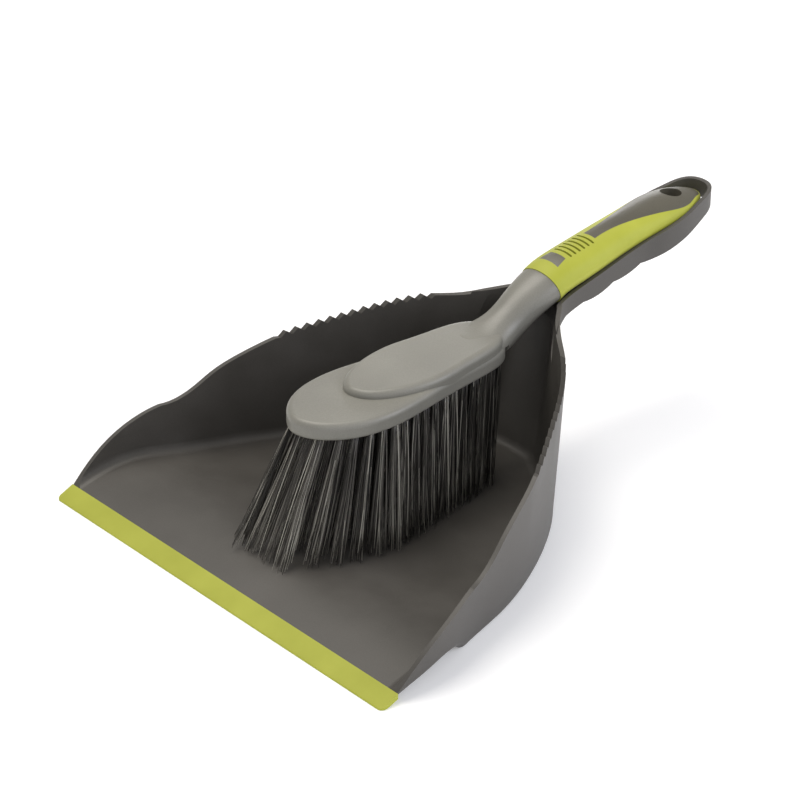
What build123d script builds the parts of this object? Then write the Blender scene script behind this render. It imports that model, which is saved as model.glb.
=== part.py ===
"""Dustpan with a hand brush that stores in the channel of the pan's handle.

Millimetres, +Z up. The lip faces -Y, the handles point to +Y, and the set is symmetric about X = 0.
The origin is on the ground under the middle of the set. Sketches are drawn on planes that start at
the lip, so every y in the dimensions is a distance back from the lip's front edge.
"""

import os
from math import cos, hypot, radians, sin

from build123d import *

# ---- driving dimensions -------------------------------------------------------------------------
overall_length = 320.0
lip_width = 230.0
wall = 2.2

# scoop: half widths on the ground and at the section height, as (half width, y)
section_height = 84.0
ground_widths = [(114.2, 0), (113.4, 22), (110.4, 40), (104.5, 58), (97, 87), (86.3, 114)]
ground_widths += [(73, 138), (54, 163), (38, 176.5), (20, 186.5)]
ground_back = 190.0
upper_widths = [(122.5, 0), (122.3, 22), (121.2, 40), (117.6, 58), (104.5, 87), (92.5, 114)]
upper_widths += [(77, 138), (57.5, 165.5), (42.4, 180.2), (22.4, 197.3)]
upper_back = 210.0
floor_line = [(8, 4.0), (20, 6.9), (31, 8.7), (43, 9.4), (58, 8.2), (78, 6.2), (104, 4.8), (134, 4.4)]
floor_line += [(170, 4.4), (215, 4.4)]
floor_thickness = 2.2
foot_front = 58.0
inner_corner_radius = 4.5
outer_corner_radius = 2.5

# teeth on the side walls, for combing fluff out of the bristles
tooth_count = 13
teeth_start = (116.5, 56.4)
teeth_end = (175.5, 73.4)
tooth_height = 2.3

# channel in the pan's handle
rim_start = (197.0, 80.7)
rim_slope = 0.2204
channel_wall = 2.0
channel_floor = [(209, 76.4), (222, 79.4), (242, 83.2), (262, 87.0), (283, 90.4), (300, 94.3), (322, 99.0)]
finger_cusps = [(221.5, 77.3), (242, 81.3), (261, 85.2)]

# soft lip
lip_depth = 9.5
lip_back_height = 4.6
lip_nose_height = 0.8
tongue = [(3.2, 1.0), (9.5, 2.6), (9.5, 3.7), (3.2, 1.6)]
tongue_half_width = 112.0

# brush head: half widths of the bristle block and of the raised saddle, as (half width, y)
block_bottom = 63.5
block_thickness = 8.3
block_widths = [(9, 55), (16.5, 62), (21.5, 71), (24.3, 82), (24.9, 93), (23.8, 105)]
block_widths += [(21.3, 122), (19, 140), (17.2, 157), (12.5, 170.5)]
block_nose = 52.0
block_back = 177.0
saddle_widths = [(9, 88.5), (14.4, 96), (18.4, 107), (20.3, 118), (20.4, 127), (18.8, 139),
                 (16.8, 156), (12.0, 169.5)]
saddle_nose = 84.5
saddle_back = 176.5
saddle_top = [(80, 75.0), (180, 76.7)]
saddle_edge_radius = 3.2

# brush cross sections: y, z, half width, half height, slope in degrees
neck_sections = [
    (146.0, 69.4, 16.6, 6.2, 2.0),
    (156.0, 69.6, 15.4, 6.8, 4.0),
    (165.0, 70.0, 13.9, 7.5, 9.0),
    (172.0, 70.9, 12.3, 8.4, 14.0),
    (178.0, 72.4, 10.9, 9.0, 22.0),
    (184.0, 75.1, 10.3, 9.0, 29.0),
    (190.0, 78.6, 10.5, 9.0, 30.0),
    (196.0, 81.9, 11.3, 9.0, 27.0),
    (201.5, 84.4, 12.1, 8.9, 22.0),
    (206.5, 86.3, 12.5, 8.8, 17.0),
]
handle_sections = [
    (206.5, 86.3, 12.9, 9.2, 17.0),
    (221.0, 90.8, 12.9, 9.0, 8.0),
    (243.0, 94.6, 12.5, 8.8, 0.0),
    (257.0, 96.9, 12.2, 8.6, 0.0),
    (272.0, 98.9, 12.7, 8.4, 0.0),
    (283.0, 100.2, 13.3, 8.2, 0.0),
    (292.0, 100.9, 13.1, 7.6, 0.0),
    (300.0, 101.4, 11.8, 6.3, 0.0),
    (308.0, 101.6, 8.8, 4.5, 0.0),
    (312.5, 101.6, 5.6, 3.0, 0.0),
    (315.0, 101.6, 2.6, 1.5, 0.0),
]
grip_thickness = 1.2
slot_count = 6
slot_pitch = 3.0
slot_start = 220.6
slot_length = 11.6
slot_width = 1.15
pad_corners = [(4.9, 217.4), (6.3, 210.8)]
top_strip_widths = [(3.9, 238.4), (3.8, 246), (5.8, 261), (9.3, 277), (11.4, 288), (10.6, 299), (6.6, 308.5)]
top_strip_back = 313.2
hang_hole_y = 296.0
hang_hole_radius = 5.5

# bristles: tufts in rows across the block, leaning forward, fanned out at the nose and the sides
row_count = 17
row_pitch = 7.0
first_row = 58.5
tuft_pitch = 7.4
tuft_edge_margin = 4.2
tuft_radius = 1.6
tuft_tip_radius = 2.6
tuft_hole_depth = 6.0
tuft_floor_gap = 0.6
neck_clear_back = 174.0
lean_everywhere = 10.5
fan_start = 96.0
fan_rate = 0.48
side_splay = 0.55
anchor_width = 3.0
anchor_thickness = 0.3
anchor_height = 1.6

# ---- drawing planes -----------------------------------------------------------------------------
lip_y = -overall_length / 2
ground = Plane((0, lip_y, 0))
side = Plane(origin=(0, lip_y, 0), x_dir=(0, 1, 0), z_dir=(1, 0, 0))


def across(y, z, slope):
    """Plane that cuts the brush across at distance y behind the lip, square to the given slope."""
    turn = radians(slope)
    return Plane(origin=(0, lip_y + y, z), x_dir=(1, 0, 0), z_dir=(0, -cos(turn), -sin(turn)))


def rim_height(y):
    """Height of the channel's rim at distance y behind the lip."""
    return rim_start[1] + (y - rim_start[0]) * rim_slope


def mirrored_outline(points, start_direction, front=None):
    """Plan outline from its right half, closed on the middle line and mirrored to the left."""
    with BuildSketch() as outline:
        with BuildLine():
            if front is not None:
                Line((0, front), (points[0][0], front))
                Line((points[0][0], front), points[0])
            Spline(*points, tangents=[start_direction, (-1, 0)])
            mirror(about=Plane.YZ)
        make_face()
    return outline.sketch


def closed_outline(points):
    """Smooth plan outline through a nose point, right-hand points and a back point, mirrored."""
    left_points = [(-x, y) for x, y in reversed(points[1:-1])]
    with BuildSketch() as outline:
        with BuildLine():
            Spline(*points, *left_points, periodic=True)
        make_face()
    return outline.sketch


def inset_points(points, inset):
    """Right-hand outline points moved inwards, square to the outline, by the inset."""
    moved = []
    for index, (x, y) in enumerate(points):
        before = points[max(index - 1, 0)]
        after = points[min(index + 1, len(points) - 1)]
        run = hypot(after[0] - before[0], after[1] - before[1])
        moved.append((x - inset * (after[1] - before[1]) / run, y + inset * (after[0] - before[0]) / run))
    return moved


def scoop_form(front, inset):
    """The scoop's drafted form, from its ground outline to its upper outline."""
    with BuildPart() as form:
        with BuildSketch(ground):
            points = inset_points(ground_widths, inset) + [(0, ground_back - inset)]
            add(mirrored_outline(points, (0, 1), front))
        with BuildSketch(ground.offset(section_height)):
            points = inset_points(upper_widths, inset) + [(0, upper_back - inset)]
            add(mirrored_outline(points, (0, 1), front))
        loft(ruled=True)
    return form.part


def brush_form(sections, inset=0.0):
    """Smooth body through elliptical sections, all drawn smaller by the inset."""
    with BuildPart() as form:
        for y, z, half_width, half_height, slope in sections:
            with BuildSketch(across(y, z, slope)):
                Ellipse(half_width - inset, half_height - inset)
        loft()
    return form.part


def floor_height(y):
    """Height of the pan's floor at distance y behind the lip."""
    for (y0, z0), (y1, z1) in zip(floor_line, floor_line[1:]):
        if y <= y1:
            return z0 + (z1 - z0) * (y - y0) / (y1 - y0)
    return floor_line[-1][1]


def tooth_points():
    """Tooth corners in side view, closer together where the wall turns across the pan."""
    span_y = teeth_end[0] - teeth_start[0]
    span_z = teeth_end[1] - teeth_start[1]
    points = []
    for half_step in range(2 * tooth_count + 1):
        t = half_step / (2 * tooth_count)
        along = t * (1.11 - 0.11 * t)
        lift = tooth_height if half_step % 2 else 0.0
        points.append((teeth_start[0] + along * span_y, teeth_start[1] + along * span_z + lift))
    return points


def channel_plan(inset):
    """Plan of the pan's handle, flaring at the front into the scoop's side walls."""
    sides = [(30, 186), (22.6, 196), (16.4, 202.5), (14.4, 209), (13.8, 226), (13.7, 248), (14.4, 268)]
    sides = inset_points(sides, inset)
    widest = (16 - inset, 286)
    with BuildSketch() as plan:
        with BuildLine():
            Line((0, sides[0][1]), sides[0])
            Spline(*sides, widest, tangents=[(-0.66, 0.75), (0, 1)])
            Spline(widest, (13.3 - inset, 305 - 0.5 * inset), (0, overall_length - inset),
                   tangents=[(0, 1), (-1, 0)])
            mirror(about=Plane.YZ)
        make_face()
    return plan.sketch


# ---- pan ----------------------------------------------------------------------------------------
with BuildPart() as scoop:
    add(scoop_form(-10, 0))
    with BuildSketch(side) as side_view:
        with BuildLine():
            teeth = tooth_points()
            Polyline((lip_depth, 2.2), (18, 4.3), (30, 6.5))
            Spline((30, 6.5), (42, 7.4), (52, 3.6), (foot_front, 0), tangents=[(1, 0.18), (1, -0.1)])
            Polyline((foot_front, 0), (215, 0), (215, rim_height(215)), rim_start)
            Spline(rim_start, (186, 76.9), (177, 75.4), tangents=[(-1, -0.22), (-1, -0.1)])
            Polyline((177, 75.4), *reversed(teeth), (114.5, 56.4))
            Spline((114.5, 56.4), (99, 50.4), (84, 43.3), (76, 38), (69, 34.4), (58, 32.2))
            Spline((58, 32.2), (44, 27.6), (28, 19.3), (lip_depth, 4.4), tangents=[(-1, -0.22), (-1, -0.95)])
            Line((lip_depth, 4.4), (lip_depth, 2.2))
        make_face()
        tooth_corners = side_view.vertices().filter_by(
            lambda corner: teeth_start[0] + 1 < corner.Y - lip_y < teeth_end[0] - 1 and corner.Z > 50
        )
        fillet(tooth_corners, radius=0.6)
    extrude(amount=lip_width, both=True, mode=Mode.INTERSECT)
    ground_edges = scoop.edges().group_by(Axis.Z)[0].sort_by(Axis.Y)
    fillet(ground_edges[1:], radius=outer_corner_radius)

with BuildPart() as channel_block:
    with BuildSketch(ground):
        add(channel_plan(0))
    extrude(amount=2 * section_height)
    with BuildSketch(side):
        with BuildLine():
            Polyline((186, rim_height(186)), (186, 60), (200, 68.5), (209, 74.4), finger_cusps[0])
            ThreePointArc(finger_cusps[0], (231, 77.7), finger_cusps[1])
            ThreePointArc(finger_cusps[1], (251, 81.9), finger_cusps[2])
            Spline(finger_cusps[2], (276, 86.2), (293, 90.6), (308, 95.2), (322, 101),
                   tangents=[(1, -0.1), (1, 0.6)])
            Polyline((322, 101), (322, rim_height(322)), (186, rim_height(186)))
        make_face()
    extrude(amount=lip_width, both=True, mode=Mode.INTERSECT)

with BuildPart() as scoop_cavity:
    add(scoop_form(-20, wall))
    with BuildSketch(side):
        with BuildLine():
            Spline(*floor_line, tangents=[(1, 0.26), (1, 0)])
            Polyline(floor_line[-1], (floor_line[-1][0], 130), (floor_line[0][0], 130), floor_line[0])
        make_face()
    extrude(amount=lip_width, both=True, mode=Mode.INTERSECT)
    floor_faces = scoop_cavity.faces().filter_by(lambda face: face.normal_at().Z < -0.9)
    floor_corners = floor_faces.edges().filter_by(lambda edge: abs(edge.tangent_at(0.5).X) < 0.98)
    fillet(floor_corners, radius=inner_corner_radius)

with BuildPart() as channel_cavity:
    with BuildSketch(ground):
        add(channel_plan(channel_wall))
    extrude(amount=2 * section_height)
    with BuildSketch(side):
        with BuildLine():
            Polyline((186, 60), (195, 66), *channel_floor, (322, 130), (186, 130), (186, 60))
        make_face()
    extrude(amount=lip_width, both=True, mode=Mode.INTERSECT)

# hollow under the raised floor, leaving the side walls as a foot all round
with BuildPart() as foot_recess:
    add(scoop_form(-20, 2 * wall))
    with BuildSketch(side):
        with BuildLine():
            lowered = [(y, z - floor_thickness) for y, z in floor_line if y > foot_front]
            Polyline((foot_front + wall, 0), (foot_front + wall, lowered[0][1]), lowered[0])
            Spline(*lowered, tangents=[(1, -0.1), (1, 0)])
            Polyline(lowered[-1], (lowered[-1][0], 0), (foot_front + wall, 0))
        make_face()
    extrude(amount=lip_width, both=True, mode=Mode.INTERSECT)

with BuildPart() as pan:
    add(scoop)
    add(channel_block)
    add(scoop_cavity, mode=Mode.SUBTRACT)
    add(channel_cavity, mode=Mode.SUBTRACT)
    add(foot_recess, mode=Mode.SUBTRACT)
    with BuildSketch(side):
        with BuildLine():
            Polyline(*tongue, tongue[0])
        make_face()
    extrude(amount=tongue_half_width, both=True)
    with BuildSketch(ground):
        with Locations((0, hang_hole_y)):
            Circle(hang_hole_radius)
    extrude(amount=130, mode=Mode.SUBTRACT)


# ---- soft lip -----------------------------------------------------------------------------------
with BuildPart() as lip_strip:
    with BuildSketch(side):
        with BuildLine():
            Polyline((0, 0), (3.5, 0), (lip_depth, 2.0), (lip_depth, lip_back_height),
                     (0.3, lip_nose_height), (0, 0.5), (0, 0))
        make_face()
    extrude(amount=lip_width / 2, both=True)
    side_corners = lip_strip.edges().filter_by(Axis.Z).group_by(Axis.Y)[0]
    fillet(side_corners, radius=2.5)
    with BuildSketch(side):
        with BuildLine():
            Polyline(*tongue, tongue[0])
        make_face()
    extrude(amount=tongue_half_width, both=True, mode=Mode.SUBTRACT)

# ---- tuft layout --------------------------------------------------------------------------------
block_outline = closed_outline([(0, block_nose)] + block_widths + [(0, block_back)])


def row_roots(row):
    """Plan positions of one row's tufts where they leave the block, evenly spread to its edges."""
    y = first_row + row * row_pitch
    strip = block_outline & Pos(0, y) * Rectangle(lip_width, 0.1)
    half_width = strip.bounding_box().max.X - tuft_edge_margin
    count = max(2, round(2 * half_width / tuft_pitch) + 1 - row % 2)
    return [(half_width * (2 * column / (count - 1) - 1), y) for column in range(count)]


def tuft_tip(x, y):
    """Centre of the tip of the tuft whose root is at x, y: leaning, and just over the pan's floor."""
    tip_y = y - lean_everywhere - fan_rate * max(0.0, fan_start - y)
    return x * (1 + side_splay), tip_y, floor_height(tip_y) + tuft_floor_gap


def along_tuft(root, height):
    """Point of the tuft's axis at the given height."""
    tip_x, tip_y, tip_z = tuft_tip(*root)
    share = (block_bottom - height) / (block_bottom - tip_z)
    return root[0] + (tip_x - root[0]) * share, root[1] + (tip_y - root[1]) * share, height


def tuft_form(root, heights, radii):
    """Leaning round bundle between level cuts at the given heights."""
    with BuildPart() as form:
        for height, radius in zip(heights, radii):
            x, y, z = along_tuft(root, height)
            with BuildSketch(Plane((x, lip_y + y, z))):
                Circle(radius)
        loft(ruled=True)
    return form.part


rows = [row_roots(row) for row in range(row_count)]
all_roots = sum(rows, [])
hole_top = block_bottom + tuft_hole_depth
bundle_top = hole_top - anchor_height
tuft_holes = [tuft_form(root, [block_bottom - 1, hole_top], [tuft_radius] * 2) for root in all_roots]

# ---- brush body ---------------------------------------------------------------------------------
with BuildPart() as saddle:
    with BuildSketch(ground.offset(block_bottom + 2)):
        add(closed_outline([(0, saddle_nose)] + saddle_widths + [(0, saddle_back)]))
    extrude(amount=20)
    with BuildSketch(side):
        with BuildLine():
            Polyline((80, 60), saddle_top[0], saddle_top[1], (180, 60), (80, 60))
        make_face()
    extrude(amount=lip_width, both=True, mode=Mode.INTERSECT)
    fillet(saddle.faces().sort_by(Axis.Z)[-1].edges(), radius=saddle_edge_radius)

handle_form = brush_form(handle_sections)
core_form = brush_form(handle_sections, grip_thickness)

# everything above the handle's middle line
with BuildPart() as upper_side:
    with BuildSketch(side):
        with BuildLine():
            middle = [(y, z) for y, z, *_ in handle_sections]
            Polyline(*middle, (middle[-1][0], 130), (middle[0][0], 130), middle[0])
        make_face()
    extrude(amount=lip_width, both=True)

# top strip and thumb pad, where the hard core comes up flush through windows in the soft grip
with BuildPart() as raised_areas:
    with BuildSketch(ground):
        with BuildLine():
            Line((0, top_strip_widths[0][1]), top_strip_widths[0])
            Spline(*top_strip_widths, (0, top_strip_back), tangents=[(-0.1, 1), (-1, 0)])
            mirror(about=Plane.YZ)
        make_face()
        with BuildLine():
            Polyline((0, pad_corners[1][1]), pad_corners[1], pad_corners[0], (0, pad_corners[0][1]))
            mirror(about=Plane.YZ)
        make_face()
    extrude(amount=130)
    add(upper_side, mode=Mode.INTERSECT)
    add(handle_form, mode=Mode.INTERSECT)

# bristle block and saddle with the tuft holes, drilled before the neck covers them
with BuildPart() as block:
    with BuildSketch(ground.offset(block_bottom)):
        add(block_outline)
    extrude(amount=block_thickness)
    fillet(block.faces().sort_by(Axis.Z)[-1].edges(), radius=3.0)
    fillet(block.faces().sort_by(Axis.Z)[0].edges(), radius=1.5)
    add(saddle)
    add(tuft_holes, mode=Mode.SUBTRACT)

# neck, kept clear of the tuft holes and of the space under the block
with BuildPart() as neck:
    add(brush_form(neck_sections))
    split(bisect_by=Plane.XY.offset(block_bottom), keep=Keep.TOP)
    with Locations((0, lip_y + neck_clear_back, hole_top + 1)):
        Box(40, 60, 40, align=(Align.CENTER, Align.MAX, Align.MAX), mode=Mode.SUBTRACT)

with BuildPart() as brush_body:
    add(block)
    add(neck)
    add(core_form)
    add(raised_areas)
    with BuildSketch(ground):
        with Locations((0, hang_hole_y)):
            Circle(hang_hole_radius)
    extrude(amount=130, mode=Mode.SUBTRACT)

# ---- soft grip ----------------------------------------------------------------------------------
with BuildPart() as grip:
    add(handle_form)
    add(core_form, mode=Mode.SUBTRACT)
    add(raised_areas, mode=Mode.SUBTRACT)
    with BuildSketch(ground):
        with Locations(*[(0, slot_start + index * slot_pitch) for index in range(slot_count)]):
            SlotOverall(slot_length, slot_width)
        with Locations((0, hang_hole_y)):
            Circle(hang_hole_radius)
    extrude(amount=130, mode=Mode.SUBTRACT)

# ---- bristles and their anchors -----------------------------------------------------------------
tuft_row_parts = []
for number, row in enumerate(rows, start=1):
    with BuildPart() as tuft_row:
        tufts = []
        for root in row:
            heights = [bundle_top, block_bottom, tuft_tip(*root)[2]]
            tufts.append(tuft_form(root, heights, [tuft_radius, tuft_radius, tuft_tip_radius]))
        add(tufts)
    tuft_row.part.label = f"tuft_row_{number:02d}"
    tuft_row_parts.append(tuft_row.part)

anchor_middle = hole_top - anchor_height / 2
anchor_places = []
for root in all_roots:
    x, y, z = along_tuft(root, anchor_middle)
    anchor_places.append((x, lip_y + y, z))
with BuildPart() as tuft_anchors:
    with Locations(*anchor_places):
        Box(anchor_width, anchor_thickness, anchor_height)

# ---- export -------------------------------------------------------------------------------------
pan.part.label = "pan"
lip_strip.part.label = "lip_strip"
brush_body.part.label = "brush_body"
grip.part.label = "grip"
tuft_anchors.part.label = "tuft_anchors"

os.makedirs("parts", exist_ok=True)
for piece in [pan.part, lip_strip.part, brush_body.part, grip.part, tuft_anchors.part] + tuft_row_parts:
    export_step(piece, f"parts/{piece.label}.step")
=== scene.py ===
from math import cos, pi, radians, sin
from random import Random

import bpy
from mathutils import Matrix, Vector


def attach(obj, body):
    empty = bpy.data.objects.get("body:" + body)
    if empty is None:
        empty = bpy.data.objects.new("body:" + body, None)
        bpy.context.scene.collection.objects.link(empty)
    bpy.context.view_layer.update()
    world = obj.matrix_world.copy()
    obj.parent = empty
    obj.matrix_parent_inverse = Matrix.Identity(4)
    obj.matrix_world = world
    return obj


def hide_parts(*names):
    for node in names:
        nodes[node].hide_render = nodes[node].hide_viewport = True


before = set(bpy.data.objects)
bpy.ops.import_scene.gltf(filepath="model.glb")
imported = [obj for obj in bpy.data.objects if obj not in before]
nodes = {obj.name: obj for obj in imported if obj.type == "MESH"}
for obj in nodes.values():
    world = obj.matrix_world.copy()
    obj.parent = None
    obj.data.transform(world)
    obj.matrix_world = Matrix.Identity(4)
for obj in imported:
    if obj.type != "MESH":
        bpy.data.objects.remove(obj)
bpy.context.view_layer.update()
scene = bpy.context.scene
mm = 0.001

# ---- sizes of the finishes, in millimetres ------------------------------------------------------
satin_grain = 0.55        # spark-eroded mould grain, drawn a little coarse so that it shows
satin_depth = 0.12        # how deep that grain goes
flow_patch = 38.0         # slow tone change where the melt cooled
scuff_width = 0.75        # fine scuffs on the pan, drawn a little wide so that they show
scuff_stretch = 0.07      # a scuff's width as a share of its length, front to back
rubber_grain = 0.4        # fine matt texture of the moulded rubber
rubber_depth = 0.1        # how deep that texture goes
rubber_patch = 22.0       # slow tone change of the rubber's pigment
wire_line = 0.2           # drawing lines along the anchors' wire
handle_painted_shade_start = 38.0  # distance behind the frame's middle where the painted shade along the brush's handle begins
handle_painted_shade_end = 62.0    # and where it is full

# ---- strengths of the polypropylene's marks -----------------------------------------------------
grain_contrast = 0.16     # how far the grain lightens and darkens the colour
gloss_low, gloss_high = 0.05, 0.07   # how far the roughness wanders either way
scuff_strength = 0.35     # how deep a scuff cuts, as a share of the grain

# ---- bristle strands, in millimetres ------------------------------------------------------------
filament_radius = 0.23    # drawn a little thick so that single strands show
filament_tip_radius = 0.13
filaments_per_tuft = 46
filament_sides = 3
filament_steps = 6
tip_scatter = 1.35        # spread of the cut ends about their tuft's cone
tip_shortfall = 5.5       # how much shorter than the longest the shortest strand is
strand_bow = 0.6          # sideways bow of a strand at its middle
strand_gather = 0.5       # how far a tuft draws in at its middle
ring_tolerance = 0.02     # height within which points belong to one level ring of a bundle

# ---- bristle tones, as shares of the strand colours ---------------------------------------------
light_strand_share = 0.1
# how much lighter a strand gets from its root to its tip
tip_lightening = 0.2
tuft_tone_change = 0.1
darkest_to_lightest = 0.8
dark_strand_limit = 0.9


def linear(colour):
    """sRGB hex text to a linear RGBA value."""
    channels = [int(colour[i:i + 2], 16) / 255 for i in (1, 3, 5)]
    return [c / 12.92 if c <= 0.04045 else ((c + 0.055) / 1.055) ** 2.4 for c in channels] + [1.0]


def new_material(name):
    """Empty node material with its principled shader."""
    material = bpy.data.materials.new(name)
    material.use_nodes = True
    tree = material.node_tree
    return material, tree, tree.nodes["Principled BSDF"]


def node(tree, kind, settings=None, values=None, links=None):
    """Adds one node, sets its properties and socket values, and links its inputs."""
    made = tree.nodes.new(kind)
    for name, value in (settings or {}).items():
        setattr(made, name, value)
    for name, value in (values or {}).items():
        made.inputs[name].default_value = value
    for name, source in (links or {}).items():
        tree.links.new(source, made.inputs[name])
    return made


def colour_ramp(tree, source, stops):
    """Ramp from (position, hex) stops."""
    ramp = node(tree, "ShaderNodeValToRGB", links={"Fac": source})
    elements = ramp.color_ramp.elements
    while len(elements) < len(stops):
        elements.new(0.5)
    for element, (place, colour) in zip(elements, stops):
        element.position = place
        element.color = linear(colour)
    return ramp


def moulded_polypropylene(name, dark, middle, light, roughness, scuffs, handle_painted_shade=None):
    """Injection-moulded polypropylene: slow cloudy tone, fine satin grain and a soft wide gloss."""
    material, tree, shader = new_material(name)
    place = node(tree, "ShaderNodeTexCoord").outputs["Object"]
    clouds = node(tree, "ShaderNodeTexNoise", values={"Scale": 1 / (flow_patch * mm), "Detail": 3.0},
                  links={"Vector": place})
    tone = colour_ramp(tree, clouds.outputs["Fac"], [(0.3, dark), (0.5, middle), (0.72, light)])
    grain = node(tree, "ShaderNodeTexNoise", values={"Scale": 1 / (satin_grain * mm), "Detail": 2.0},
                 links={"Vector": place})
    speck = node(tree, "ShaderNodeMix", settings={"data_type": "RGBA", "blend_type": "OVERLAY"},
                 values={0: grain_contrast}, links={6: tone.outputs["Color"], 7: grain.outputs["Fac"]})
    gloss = node(tree, "ShaderNodeMapRange",
                 values={"From Min": 0.3, "From Max": 0.7,
                         "To Min": roughness - gloss_low, "To Max": roughness + gloss_high},
                 links={"Value": clouds.outputs["Fac"]})
    height = grain.outputs["Fac"]
    if scuffs:
        stretched = node(tree, "ShaderNodeMapping", values={"Scale": (1.0, scuff_stretch, 1.0)},
                         links={"Vector": place})
        lines = node(tree, "ShaderNodeTexNoise", values={"Scale": 1 / (scuff_width * mm), "Detail": 4.0},
                     links={"Vector": stretched.outputs["Vector"]})
        marks = node(tree, "ShaderNodeMapRange",
                     values={"From Min": 0.66, "From Max": 0.78, "To Max": scuff_strength},
                     links={"Value": lines.outputs["Fac"]})
        height = node(tree, "ShaderNodeMath", settings={"operation": "SUBTRACT"},
                      links={0: grain.outputs["Fac"], 1: marks.outputs["Result"]}).outputs["Value"]
    bump = node(tree, "ShaderNodeBump", values={"Strength": 0.22, "Distance": satin_depth * mm},
                links={"Height": height})
    colour = speck.outputs[2]
    # painted shade: the colour is multiplied darker along Y towards the handle, in place of the shade
    # that falls on it
    if handle_painted_shade:
        along = node(tree, "ShaderNodeSeparateXYZ", links={"Vector": place}).outputs["Y"]
        share = node(tree, "ShaderNodeMapRange", settings={"interpolation_type": "SMOOTHSTEP"},
                     values={"From Min": handle_painted_shade_start * mm, "From Max": handle_painted_shade_end * mm},
                     links={"Value": along})
        handle_shaded = node(tree, "ShaderNodeMix", settings={"data_type": "RGBA", "blend_type": "MULTIPLY"},
                     values={7: linear(handle_painted_shade)}, links={0: share.outputs["Result"], 6: colour})
        colour = handle_shaded.outputs[2]
    tree.links.new(colour, shader.inputs["Base Color"])
    tree.links.new(gloss.outputs["Result"], shader.inputs["Roughness"])
    tree.links.new(bump.outputs["Normal"], shader.inputs["Normal"])
    shader.inputs["IOR"].default_value = 1.49
    return material


def soft_rubber(name, dark, light):
    """Thermoplastic rubber moulded over the hard parts: matt, slightly chalky, fine grain."""
    material, tree, shader = new_material(name)
    place = node(tree, "ShaderNodeTexCoord").outputs["Object"]
    clouds = node(tree, "ShaderNodeTexNoise", values={"Scale": 1 / (rubber_patch * mm), "Detail": 4.0},
                  links={"Vector": place})
    tone = colour_ramp(tree, clouds.outputs["Fac"], [(0.3, dark), (0.7, light)])
    grain = node(tree, "ShaderNodeTexNoise", values={"Scale": 1 / (rubber_grain * mm), "Detail": 2.0},
                 links={"Vector": place})
    bump = node(tree, "ShaderNodeBump", values={"Strength": 0.3, "Distance": rubber_depth * mm},
                links={"Height": grain.outputs["Fac"]})
    tree.links.new(tone.outputs["Color"], shader.inputs["Base Color"])
    tree.links.new(bump.outputs["Normal"], shader.inputs["Normal"])
    shader.inputs["Roughness"].default_value = 0.58
    shader.inputs["IOR"].default_value = 1.5
    shader.inputs["Sheen Weight"].default_value = 0.12
    return material


def bristle_filament(name):
    """Extruded polyester filament: near black with lighter strands, satin along its length."""
    material, tree, shader = new_material(name)
    tint = node(tree, "ShaderNodeAttribute", settings={"attribute_name": "strand_tint"})
    tone = colour_ramp(tree, tint.outputs["Fac"],
                       [(0.0, "#1d1b18"), (0.45, "#413e39"), (0.86, "#7d7972"), (1.0, "#c2beb2")])
    tree.links.new(tone.outputs["Color"], shader.inputs["Base Color"])
    shader.inputs["Roughness"].default_value = 0.34
    shader.inputs["IOR"].default_value = 1.55
    return material


def anchor_steel(name):
    """Flat drawn steel wire, dull with drawing lines."""
    material, tree, shader = new_material(name)
    place = node(tree, "ShaderNodeTexCoord").outputs["Object"]
    lines = node(tree, "ShaderNodeTexNoise", values={"Scale": 1 / (wire_line * mm), "Detail": 2.0},
                 links={"Vector": place})
    tone = colour_ramp(tree, lines.outputs["Fac"], [(0.3, "#8f8f8f"), (0.7, "#b8b8b8")])
    tree.links.new(tone.outputs["Color"], shader.inputs["Base Color"])
    shader.inputs["Metallic"].default_value = 1.0
    shader.inputs["Roughness"].default_value = 0.38
    return material


def finish(names, material):
    """Gives CAD nodes their material."""
    for name in names:
        for slot in nodes[name].material_slots:
            slot.material = material


# the pan reads as a dark warm grey with a broad dull sheen and faint scuffs
pan_polypropylene = moulded_polypropylene(
    "dark_satin_polypropylene", "#474440", "#4d4a46", "#55524e", roughness=0.46, scuffs=True
)
# the brush reads as a lighter warm grey, a little glossier, with painted shade darkening it along its
# handle
brush_polypropylene = moulded_polypropylene(
    "warm_grey_polypropylene", "#817f78", "#86847c", "#8c8a82", roughness=0.38, scuffs=False,
    handle_painted_shade="#b4b0a5"
)
lime_rubber = soft_rubber("lime_thermoplastic_rubber", "#a9ad30", "#b4b83c")
filament = bristle_filament("dark_polyester_filament")
wire = anchor_steel("drawn_steel_wire")

finish(["pan"], pan_polypropylene)
finish(["brush_body"], brush_polypropylene)
finish(["lip_strip", "grip"], lime_rubber)
finish(["tuft_anchors"], wire)


# ---- bristles -----------------------------------------------------------------------------------
def bundles(mesh):
    """Vertex positions of each closed bundle of a row, sheets that share corner points joined."""
    parent = {}

    def root(key):
        while parent[key] != key:
            parent[key] = parent[parent[key]]
            key = parent[key]
        return key

    keys = [tuple(round(value / mm, 3) for value in vertex.co) for vertex in mesh.vertices]
    for key in keys:
        parent[key] = key
    for edge in mesh.edges:
        first, second = edge.vertices
        parent[root(keys[first])] = root(keys[second])
    found = {}
    for key, vertex in zip(keys, mesh.vertices):
        found.setdefault(root(key), []).append(vertex.co)
    return list(found.values())


def ring_centre(points, height):
    """Centre of the points that lie at one height."""
    ring = [p for p in points if abs(p.z - height) < ring_tolerance * mm]
    return sum(ring, Vector()) / len(ring)


def ring_radius(points, centre):
    """Radius of the level ring about its centre."""
    return max((p - centre).length for p in points if abs(p.z - centre.z) < ring_tolerance * mm)


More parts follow.
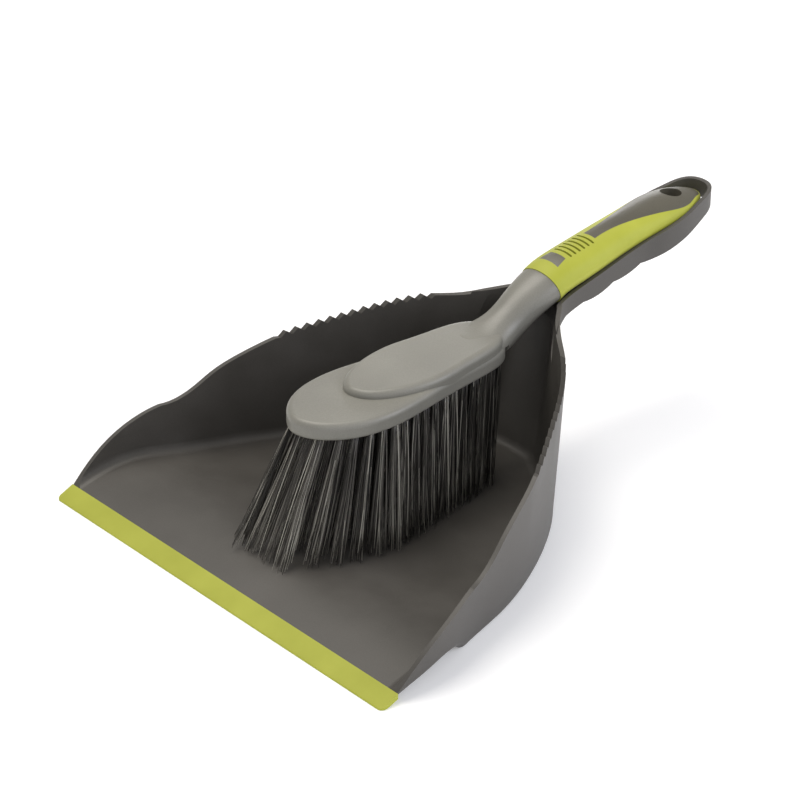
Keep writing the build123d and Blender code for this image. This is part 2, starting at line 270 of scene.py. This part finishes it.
def add_filament(vertices, faces, tints, line, radii, tint):
    """Tapered strand along a line of points."""
    start = len(vertices)
    for step, (point, radius) in enumerate(zip(line, radii)):
        for side in range(filament_sides):
            angle = 2 * pi * side / filament_sides
            vertices.append(point + Vector((radius * cos(angle), radius * sin(angle), 0)))
            tints.append(min(1.0, tint + tip_lightening * step / filament_steps))
    for step in range(len(line) - 1):
        for side in range(filament_sides):
            a = start + step * filament_sides + side
            b = start + step * filament_sides + (side + 1) % filament_sides
            faces.append((a, a + filament_sides, b + filament_sides, b))
    faces.append(tuple(start + side for side in range(filament_sides)))
    last = start + (len(line) - 1) * filament_sides
    faces.append(tuple(last + side for side in reversed(range(filament_sides))))


def filament_line(rng, top, tip, root_radius, tip_radius):
    """Strand from inside its hole to a scattered, slightly bowed tip."""
    angle = rng.uniform(0, 2 * pi)
    spread = rng.random() ** 0.5
    out = Vector((cos(angle), sin(angle), 0))
    start = top + out * spread * (root_radius - filament_radius * mm)
    scatter = Vector((rng.gauss(0, tip_scatter), rng.gauss(0, tip_scatter), 0)) * mm
    end = tip + out * spread * tip_radius + scatter
    fall = (rng.random() ** 2) * tip_shortfall * mm
    bow = Vector((rng.gauss(0, strand_bow), rng.gauss(0, strand_bow), 0)) * mm
    line = []
    for step in range(filament_steps + 1):
        t = step / filament_steps * (1 - fall / (top.z - tip.z))
        gather = out * strand_gather * mm * spread
        line.append(start.lerp(end, t) + (bow - gather) * sin(pi * t))
    return line


def bristle_row(number):
    """One row of tufts as separate filaments, standing for the row's plain bundles."""
    rng = Random(number)
    solid = nodes[f"tuft_row_{number:02d}"]
    narrowing = (filament_tip_radius - filament_radius) / filament_steps
    taper = [(filament_radius + narrowing * step) * mm for step in range(filament_steps + 1)]
    vertices, faces, tints = [], [], []
    for points in bundles(solid.data):
        top = ring_centre(points, max(p.z for p in points))
        tip = ring_centre(points, min(p.z for p in points))
        root_radius, tip_radius = ring_radius(points, top), ring_radius(points, tip)
        tuft_tint = rng.uniform(-tuft_tone_change, tuft_tone_change)
        for _ in range(filaments_per_tuft):
            light = rng.random() < light_strand_share
            tint = 1.0
            if not light:
                tint = rng.uniform(0.0, darkest_to_lightest) + tuft_tint
                tint = min(dark_strand_limit, max(0.0, tint))
            line = filament_line(rng, top, tip, root_radius, tip_radius)
            add_filament(vertices, faces, tints, line, taper, tint)
    mesh = bpy.data.meshes.new(f"bristles_{number:02d}")
    mesh.from_pydata([tuple(v) for v in vertices], [], faces)
    attribute = mesh.attributes.new("strand_tint", "FLOAT", "POINT")
    attribute.data.foreach_set("value", tints)
    mesh.polygons.foreach_set("use_smooth", [len(face) == 4 for face in faces])
    mesh.materials.append(filament)
    mesh.update()
    piece = bpy.data.objects.new(f"bristles_{number:02d}", mesh)
    scene.collection.objects.link(piece)
    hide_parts(f"tuft_row_{number:02d}")
    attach(piece, "brush")


row_count = sum(name.startswith("tuft_row_") for name in nodes)
for number in range(1, row_count + 1):
    bristle_row(number)


# ---- floor, lights and camera -------------------------------------------------------------------
floor_size = 40.0      # metres across
paper_glow = 0.22      # the paper's own light, which keeps it near white
world_strength = 0.42


def studio_floor():
    """Plain white paper under the set."""
    bpy.ops.mesh.primitive_plane_add(size=floor_size, location=(0, 0, 0))
    floor = bpy.context.object
    floor.name = "studio_floor"
    material, _, shader = new_material("white_paper")
    shader.inputs["Base Color"].default_value = linear("#f4f4f6")
    shader.inputs["Roughness"].default_value = 0.9
    shader.inputs["Emission Color"].default_value = linear("#ffffff")
    shader.inputs["Emission Strength"].default_value = paper_glow
    floor.data.materials.append(material)


def soft_box(name, place, target, size, power, colour):
    """Large soft area light aimed at a point."""
    light = bpy.data.lights.new(name, "AREA")
    light.shape = "RECTANGLE"
    light.size, light.size_y = size
    light.energy = power
    light.color = linear(colour)[:3]
    lamp = bpy.data.objects.new(name, light)
    lamp.location = place
    lamp.rotation_euler = (Vector(target) - Vector(place)).to_track_quat("-Z", "Y").to_euler()
    scene.collection.objects.link(lamp)


def camera(place, azimuth, elevation, lens):
    """Camera at a place, looking back along its azimuth and down by its elevation."""
    turn, tilt = radians(azimuth), radians(elevation)
    aim = Vector((-sin(turn) * cos(tilt), cos(turn) * cos(tilt), -sin(tilt)))
    data = bpy.data.cameras.new("camera")
    data.lens = lens
    data.sensor_width = 36.0
    view = bpy.data.objects.new("camera", data)
    view.location = place
    view.rotation_euler = aim.to_track_quat("-Z", "Y").to_euler()
    scene.collection.objects.link(view)
    scene.camera = view


studio_floor()
soft_box("key", (-0.45, -0.05, 1.35), (0, 0, 0.04), (0.9, 0.9), 12.5, "#fffaf0")
soft_box("front_fill", (1.2, -1.0, 0.8), (0, 0, 0.04), (1.4, 1.0), 3.2, "#eef3ff")
soft_box("side_rim", (1.1, 0.7, 0.7), (0, 0, 0.05), (0.8, 0.7), 8.0, "#f2f5ff")
soft_box("edge_light", (-1.0, 1.0, 0.3), (0, 0, 0.06), (0.35, 0.35), 1.8, "#ffffff")
camera((0.7441, -0.7230, 0.6161), 47.646, 29.005, 112.5)

world = bpy.data.worlds.new("studio")
world.use_nodes = True
sky = world.node_tree.nodes["Background"]
sky.inputs["Color"].default_value = linear("#ffffff")
sky.inputs["Strength"].default_value = world_strength
scene.world = world
scene.view_settings.view_transform = "Standard"
